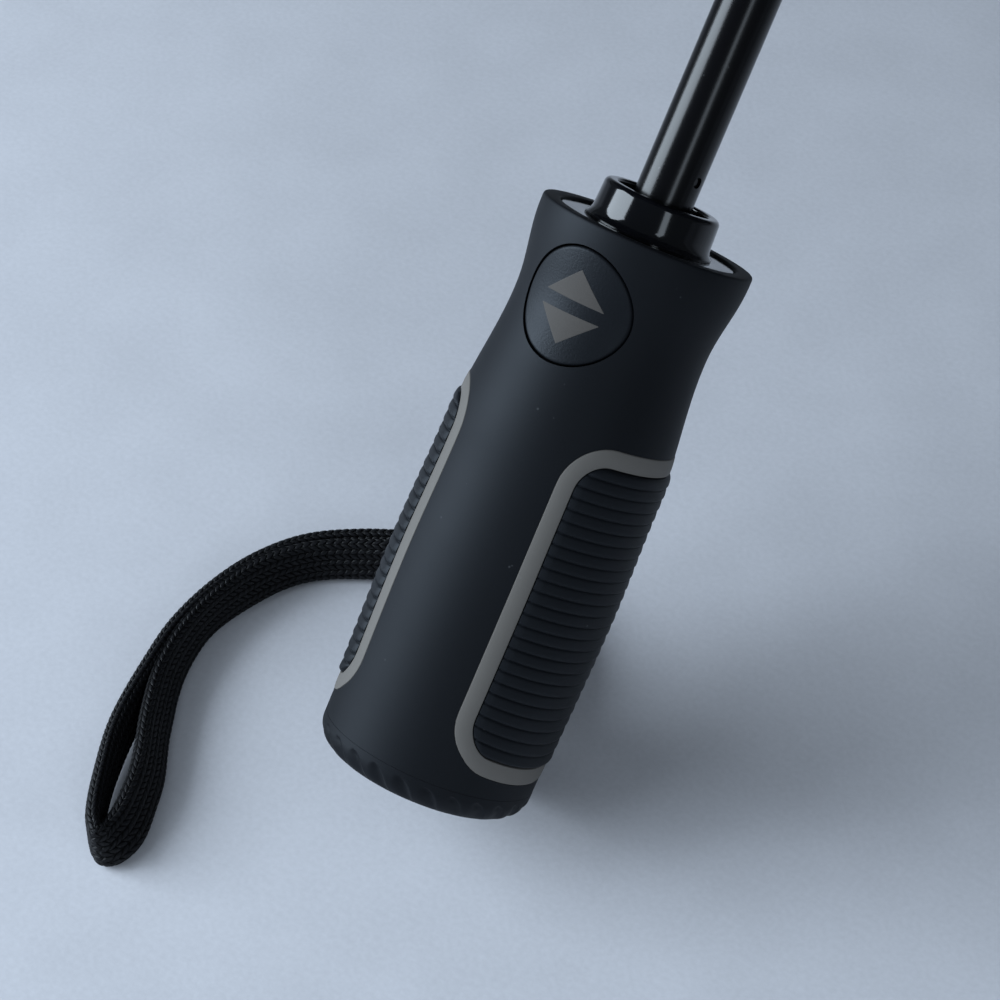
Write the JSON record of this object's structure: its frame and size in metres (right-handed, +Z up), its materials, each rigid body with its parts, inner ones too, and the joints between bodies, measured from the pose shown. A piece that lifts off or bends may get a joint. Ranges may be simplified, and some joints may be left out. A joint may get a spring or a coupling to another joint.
{
  "type": "folding umbrella",
  "caption": "Automatic folding umbrella, open: telescoping shaft, folding ribs and stretchers on a sliding runner, cloth canopy, ribbed grip with push button and wrist strap.",
  "frame": {"origin": "on the floor that the open umbrella lies on, under the middle of the ring of rib tips, which is the bottom centre of the bounding box", "axes": "+Z up from the floor, +X across the canopy along its widest extent, +Y the way the shaft leans from the handle to the crown"},
  "size_m": [0.9206, 0.7242, 0.5773],
  "materials": {
    "handle_plastic": "soft touch, dark charcoal",
    "button_plastic": "fine texture, dark charcoal",
    "grip_rubber": "ribbed, black",
    "trim_plastic": "satin warm grey",
    "gloss_plastic": "glossy black",
    "tube_metal": "glossy black",
    "rib_metal": "satin black",
    "joint_plastic": "moulded, black",
    "steel": "plain",
    "canopy_cloth": "woven, water repellent, black",
    "strap_braid": "flat braid, black"
  },
  "bodies": {
    "handle": {"button_spring": "steel", "collar": "gloss_plastic", "drive_spring": "steel", "end_cap": "handle_plastic", "grip_frame_left": "trim_plastic", "grip_frame_right": "trim_plastic", "grip_pad_left": "grip_rubber", "grip_pad_right": "grip_rubber", "handle_shell": "handle_plastic", "inner_tube": "tube_metal", "latch_pin": "tube_metal", "strap_pin": "steel", "top_plate": "gloss_plastic", "wrist_strap": "strap_braid"},
    "button_body": {"button": "button_plastic"},
    "middle_tube_body": {"middle_tube": "tube_metal"},
    "head": {"outer_tube": "tube_metal", "crown": "joint_plastic", "crown_wire": "steel", "top_cap": "joint_plastic", "canopy": "canopy_cloth", "closing_spring": "steel"},
    "runner_body": {"runner": "joint_plastic"},
    "top_rib_1_body": {"top_rib_1": "rib_metal"},
    "stretcher_1_body": {"stretcher_1": "rib_metal"},
    "middle_rib_1_body": {"middle_rib_1": "rib_metal"},
    "outer_rib_1_body": {"outer_rib_1": "rib_metal"},
    "top_rib_2_body": {"top_rib_2": "rib_metal"},
    "stretcher_2_body": {"stretcher_2": "rib_metal"},
    "middle_rib_2_body": {"middle_rib_2": "rib_metal"},
    "outer_rib_2_body": {"outer_rib_2": "rib_metal"},
    "top_rib_3_body": {"top_rib_3": "rib_metal"},
    "stretcher_3_body": {"stretcher_3": "rib_metal"},
    "middle_rib_3_body": {"middle_rib_3": "rib_metal"},
    "outer_rib_3_body": {"outer_rib_3": "rib_metal"},
    "top_rib_4_body": {"top_rib_4": "rib_metal"},
    "stretcher_4_body": {"stretcher_4": "rib_metal"},
    "middle_rib_4_body": {"middle_rib_4": "rib_metal"},
    "outer_rib_4_body": {"outer_rib_4": "rib_metal"},
    "top_rib_5_body": {"top_rib_5": "rib_metal"},
    "stretcher_5_body": {"stretcher_5": "rib_metal"},
    "middle_rib_5_body": {"middle_rib_5": "rib_metal"},
    "outer_rib_5_body": {"outer_rib_5": "rib_metal"},
    "top_rib_6_body": {"top_rib_6": "rib_metal"},
    "stretcher_6_body": {"stretcher_6": "rib_metal"},
    "middle_rib_6_body": {"middle_rib_6": "rib_metal"},
    "outer_rib_6_body": {"outer_rib_6": "rib_metal"},
    "top_rib_7_body": {"top_rib_7": "rib_metal"},
    "stretcher_7_body": {"stretcher_7": "rib_metal"},
    "middle_rib_7_body": {"middle_rib_7": "rib_metal"},
    "outer_rib_7_body": {"outer_rib_7": "rib_metal"},
    "top_rib_8_body": {"top_rib_8": "rib_metal"},
    "stretcher_8_body": {"stretcher_8": "rib_metal"},
    "middle_rib_8_body": {"middle_rib_8": "rib_metal"},
    "outer_rib_8_body": {"outer_rib_8": "rib_metal"}
  },
  "joints": [
    {"name": "button_press", "type": "slide", "parent": "handle", "child": "button_body", "axis": [0, 0.7855, -0.6189], "range_m": [0, 0.002], "stiffness_N_per_m": 900, "springref_m": -0.001, "deforming": ["button_spring"]},
    {"name": "middle_tube_slide", "type": "slide", "parent": "handle", "child": "middle_tube_body", "axis": [0, -0.6189, -0.7855], "range_m": [0, 0.128]},
    {"name": "outer_tube_slide", "type": "slide", "parent": "middle_tube_body", "child": "head", "axis": [0, -0.6189, -0.7855], "range_m": [0, 0.128]},
    {"name": "runner_slide", "type": "slide", "parent": "head", "child": "runner_body", "axis": [0, -0.6189, -0.7855], "range_m": [0, 0.14099], "deforming": ["closing_spring", "canopy"]},
    {"name": "top_rib_1_hinge", "type": "hinge", "parent": "head", "child": "top_rib_1_body", "pos_m": [-0.0044, 0.1357, 0.44058], "axis": [-0.9239, -0.3006, 0.2368], "range_deg": [0, 78.02]},
    {"name": "stretcher_1_hinge", "type": "hinge", "parent": "top_rib_1_body", "child": "stretcher_1_body", "pos_m": [-0.03771, 0.18742, 0.37627], "axis": [-0.9239, -0.3006, 0.2368], "range_deg": [-156.02, 0]},
    {"name": "middle_rib_1_hinge", "type": "hinge", "parent": "top_rib_1_body", "child": "middle_rib_1_body", "pos_m": [-0.06897, 0.23747, 0.31785], "axis": [-0.9239, -0.3006, 0.2368], "range_deg": [-188.02, 0]},
    {"name": "outer_rib_1_hinge", "type": "hinge", "parent": "middle_rib_1_body", "child": "outer_rib_1_body", "pos_m": [-0.13143, 0.31678, 0.17486], "axis": [-0.9239, -0.3006, 0.2368], "range_deg": [0, 164.02]},
    {"name": "top_rib_2_hinge", "type": "hinge", "parent": "head", "child": "top_rib_2_body", "pos_m": [-0.01063, 0.13081, 0.44443], "axis": [-0.3827, -0.7257, 0.5718], "range_deg": [0, 78.02]},
    {"name": "stretcher_2_hinge", "type": "hinge", "parent": "top_rib_2_body", "child": "stretcher_2_body", "pos_m": [-0.09105, 0.14553, 0.40928], "axis": [-0.3827, -0.7257, 0.5718], "range_deg": [-156.02, 0]},
    {"name": "middle_rib_2_hinge", "type": "hinge", "parent": "top_rib_2_body", "child": "middle_rib_2_body", "pos_m": [-0.16652, 0.16085, 0.37822], "axis": [-0.3827, -0.7257, 0.5718], "range_deg": [-188.02, 0]},
    {"name": "outer_rib_2_hinge", "type": "hinge", "parent": "middle_rib_2_body", "child": "outer_rib_2_body", "pos_m": [-0.31731, 0.17078, 0.28989], "axis": [-0.3827, -0.7257, 0.5718], "range_deg": [0, 164.02]},
    {"name": "top_rib_3_hinge", "type": "hinge", "parent": "head", "child": "top_rib_3_body", "pos_m": [-0.01063, 0.1239, 0.44988], "axis": [0.3827, -0.7257, 0.5718], "range_deg": [0, 78.02]},
    {"name": "stretcher_3_hinge", "type": "hinge", "parent": "top_rib_3_body", "child": "stretcher_3_body", "pos_m": [-0.09105, 0.08628, 0.45596], "axis": [0.3827, -0.7257, 0.5718], "range_deg": [-156.02, 0]},
    {"name": "middle_rib_3_hinge", "type": "hinge", "parent": "top_rib_3_body", "child": "middle_rib_3_body", "pos_m": [-0.16652, 0.0525, 0.4636], "axis": [0.3827, -0.7257, 0.5718], "range_deg": [-188.02, 0]},
    {"name": "outer_rib_3_hinge", "type": "hinge", "parent": "middle_rib_3_body", "child": "outer_rib_3_body", "pos_m": [-0.31731, -0.0357, 0.45259], "axis": [0.3827, -0.7257, 0.5718], "range_deg": [0, 164.02]},
    {"name": "top_rib_4_hinge", "type": "hinge", "parent": "head", "child": "top_rib_4_body", "pos_m": [-0.0044, 0.11901, 0.45373], "axis": [0.9239, -0.3006, 0.2368], "range_deg": [0, 78.02]},
    {"name": "stretcher_4_hinge", "type": "hinge", "parent": "top_rib_4_body", "child": "stretcher_4_body", "pos_m": [-0.03771, 0.04439, 0.48897], "axis": [0.9239, -0.3006, 0.2368], "range_deg": [-156.02, 0]},
    {"name": "middle_rib_4_hinge", "type": "hinge", "parent": "top_rib_4_body", "child": "middle_rib_4_body", "pos_m": [-0.06897, -0.02412, 0.52397], "axis": [0.9239, -0.3006, 0.2368], "range_deg": [-188.02, 0]},
    {"name": "outer_rib_4_hinge", "type": "hinge", "parent": "middle_rib_4_body", "child": "outer_rib_4_body", "pos_m": [-0.13143, -0.1817, 0.56762], "axis": [0.9239, -0.3006, 0.2368], "range_deg": [0, 164.02]},
    {"name": "top_rib_5_hinge", "type": "hinge", "parent": "head", "child": "top_rib_5_body", "pos_m": [0.0044, 0.11901, 0.45373], "axis": [0.9239, 0.3006, -0.2368], "range_deg": [0, 78.02]},
    {"name": "stretcher_5_hinge", "type": "hinge", "parent": "top_rib_5_body", "child": "stretcher_5_body", "pos_m": [0.03771, 0.04439, 0.48897], "axis": [0.9239, 0.3006, -0.2368], "range_deg": [-156.02, 0]},
    {"name": "middle_rib_5_hinge", "type": "hinge", "parent": "top_rib_5_body", "child": "middle_rib_5_body", "pos_m": [0.06897, -0.02412, 0.52397], "axis": [0.9239, 0.3006, -0.2368], "range_deg": [-188.02, 0]},
    {"name": "outer_rib_5_hinge", "type": "hinge", "parent": "middle_rib_5_body", "child": "outer_rib_5_body", "pos_m": [0.13143, -0.1817, 0.56762], "axis": [0.9239, 0.3006, -0.2368], "range_deg": [0, 164.02]},
    {"name": "top_rib_6_hinge", "type": "hinge", "parent": "head", "child": "top_rib_6_body", "pos_m": [0.01063, 0.1239, 0.44988], "axis": [0.3827, 0.7257, -0.5718], "range_deg": [0, 78.02]},
    {"name": "stretcher_6_hinge", "type": "hinge", "parent": "top_rib_6_body", "child": "stretcher_6_body", "pos_m": [0.09105, 0.08628, 0.45596], "axis": [0.3827, 0.7257, -0.5718], "range_deg": [-156.02, 0]},
    {"name": "middle_rib_6_hinge", "type": "hinge", "parent": "top_rib_6_body", "child": "middle_rib_6_body", "pos_m": [0.16652, 0.0525, 0.4636], "axis": [0.3827, 0.7257, -0.5718], "range_deg": [-188.02, 0]},
    {"name": "outer_rib_6_hinge", "type": "hinge", "parent": "middle_rib_6_body", "child": "outer_rib_6_body", "pos_m": [0.31731, -0.0357, 0.45259], "axis": [0.3827, 0.7257, -0.5718], "range_deg": [0, 164.02]},
    {"name": "top_rib_7_hinge", "type": "hinge", "parent": "head", "child": "top_rib_7_body", "pos_m": [0.01063, 0.13081, 0.44443], "axis": [-0.3827, 0.7257, -0.5718], "range_deg": [0, 78.02]},
    {"name": "stretcher_7_hinge", "type": "hinge", "parent": "top_rib_7_body", "child": "stretcher_7_body", "pos_m": [0.09105, 0.14553, 0.40928], "axis": [-0.3827, 0.7257, -0.5718], "range_deg": [-156.02, 0]},
    {"name": "middle_rib_7_hinge", "type": "hinge", "parent": "top_rib_7_body", "child": "middle_rib_7_body", "pos_m": [0.16652, 0.16085, 0.37822], "axis": [-0.3827, 0.7257, -0.5718], "range_deg": [-188.02, 0]},
    {"name": "outer_rib_7_hinge", "type": "hinge", "parent": "middle_rib_7_body", "child": "outer_rib_7_body", "pos_m": [0.31731, 0.17078, 0.28989], "axis": [-0.3827, 0.7257, -0.5718], "range_deg": [0, 164.02]},
    {"name": "top_rib_8_hinge", "type": "hinge", "parent": "head", "child": "top_rib_8_body", "pos_m": [0.0044, 0.1357, 0.44058], "axis": [-0.9239, 0.3006, -0.2368], "range_deg": [0, 78.02]},
    {"name": "stretcher_8_hinge", "type": "hinge", "parent": "top_rib_8_body", "child": "stretcher_8_body", "pos_m": [0.03771, 0.18742, 0.37627], "axis": [-0.9239, 0.3006, -0.2368], "range_deg": [-156.02, 0]},
    {"name": "middle_rib_8_hinge", "type": "hinge", "parent": "top_rib_8_body", "child": "middle_rib_8_body", "pos_m": [0.06897, 0.23747, 0.31785], "axis": [-0.9239, 0.3006, -0.2368], "range_deg": [-188.02, 0]},
    {"name": "outer_rib_8_hinge", "type": "hinge", "parent": "middle_rib_8_body", "child": "outer_rib_8_body", "pos_m": [0.13143, 0.31678, 0.17486], "axis": [-0.9239, 0.3006, -0.2368], "range_deg": [0, 164.02]}
  ],
  "couplings": [
    {"joint": "outer_tube_slide", "follows": "middle_tube_slide", "ratio": 1},
    {"joint": "top_rib_1_hinge", "follows": "runner_slide", "rad_per_m": 9.6557},
    {"joint": "stretcher_1_hinge", "follows": "runner_slide", "rad_per_m": -19.311},
    {"joint": "middle_rib_1_hinge", "follows": "runner_slide", "rad_per_m": -23.273},
    {"joint": "outer_rib_1_hinge", "follows": "runner_slide", "rad_per_m": 20.302},
    {"joint": "top_rib_2_hinge", "follows": "runner_slide", "rad_per_m": 9.6557},
    {"joint": "stretcher_2_hinge", "follows": "runner_slide", "rad_per_m": -19.311},
    {"joint": "middle_rib_2_hinge", "follows": "runner_slide", "rad_per_m": -23.273},
    {"joint": "outer_rib_2_hinge", "follows": "runner_slide", "rad_per_m": 20.302},
    {"joint": "top_rib_3_hinge", "follows": "runner_slide", "rad_per_m": 9.6557},
    {"joint": "stretcher_3_hinge", "follows": "runner_slide", "rad_per_m": -19.311},
    {"joint": "middle_rib_3_hinge", "follows": "runner_slide", "rad_per_m": -23.273},
    {"joint": "outer_rib_3_hinge", "follows": "runner_slide", "rad_per_m": 20.302},
    {"joint": "top_rib_4_hinge", "follows": "runner_slide", "rad_per_m": 9.6557},
    {"joint": "stretcher_4_hinge", "follows": "runner_slide", "rad_per_m": -19.311},
    {"joint": "middle_rib_4_hinge", "follows": "runner_slide", "rad_per_m": -23.273},
    {"joint": "outer_rib_4_hinge", "follows": "runner_slide", "rad_per_m": 20.302},
    {"joint": "top_rib_5_hinge", "follows": "runner_slide", "rad_per_m": 9.6557},
    {"joint": "stretcher_5_hinge", "follows": "runner_slide", "rad_per_m": -19.311},
    {"joint": "middle_rib_5_hinge", "follows": "runner_slide", "rad_per_m": -23.273},
    {"joint": "outer_rib_5_hinge", "follows": "runner_slide", "rad_per_m": 20.302},
    {"joint": "top_rib_6_hinge", "follows": "runner_slide", "rad_per_m": 9.6557},
    {"joint": "stretcher_6_hinge", "follows": "runner_slide", "rad_per_m": -19.311},
    {"joint": "middle_rib_6_hinge", "follows": "runner_slide", "rad_per_m": -23.273},
    {"joint": "outer_rib_6_hinge", "follows": "runner_slide", "rad_per_m": 20.302},
    {"joint": "top_rib_7_hinge", "follows": "runner_slide", "rad_per_m": 9.6557},
    {"joint": "stretcher_7_hinge", "follows": "runner_slide", "rad_per_m": -19.311},
    {"joint": "middle_rib_7_hinge", "follows": "runner_slide", "rad_per_m": -23.273},
    {"joint": "outer_rib_7_hinge", "follows": "runner_slide", "rad_per_m": 20.302},
    {"joint": "top_rib_8_hinge", "follows": "runner_slide", "rad_per_m": 9.6557},
    {"joint": "stretcher_8_hinge", "follows": "runner_slide", "rad_per_m": -19.311},
    {"joint": "middle_rib_8_hinge", "follows": "runner_slide", "rad_per_m": -23.273},
    {"joint": "outer_rib_8_hinge", "follows": "runner_slide", "rad_per_m": 20.302}
  ]
}
